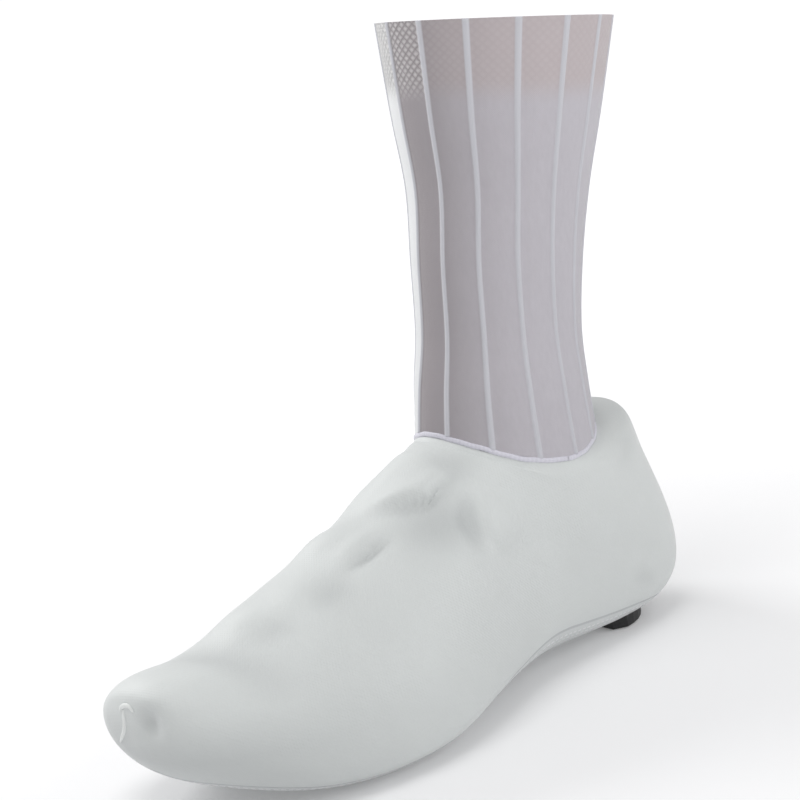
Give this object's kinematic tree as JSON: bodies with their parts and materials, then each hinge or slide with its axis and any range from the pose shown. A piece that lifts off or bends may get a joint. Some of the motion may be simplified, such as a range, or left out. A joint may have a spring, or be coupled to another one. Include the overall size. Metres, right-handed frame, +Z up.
{
  "type": "cycling overshoe",
  "caption": "White stretch cycling overshoe for the left foot, with a tall ribbed sheer cuff, a raised seam round the ankle, a black heel pad and a cleat opening under the ball.",
  "frame": {"origin": "on the floor, under the middle of the overshoe's bounding box", "axes": "+Z up; +Y from the toe to the heel; +X towards the outer side of the left foot"},
  "size_m": [0.104, 0.2896, 0.2867],
  "materials": {
    "white_fabric": "smooth coated stretch fabric",
    "sole_fabric": "matt coated fabric",
    "black_rubber": "matt",
    "seam_tape": "smooth tape",
    "sheer_knit": "sheer ribbed knit"
  },
  "bodies": {
    "root": {"upper": "white_fabric", "sole": "sole_fabric", "heel_pad": "black_rubber", "collar_seam": "seam_tape", "shaft": "sheer_knit"}
  },
  "joints": []
}
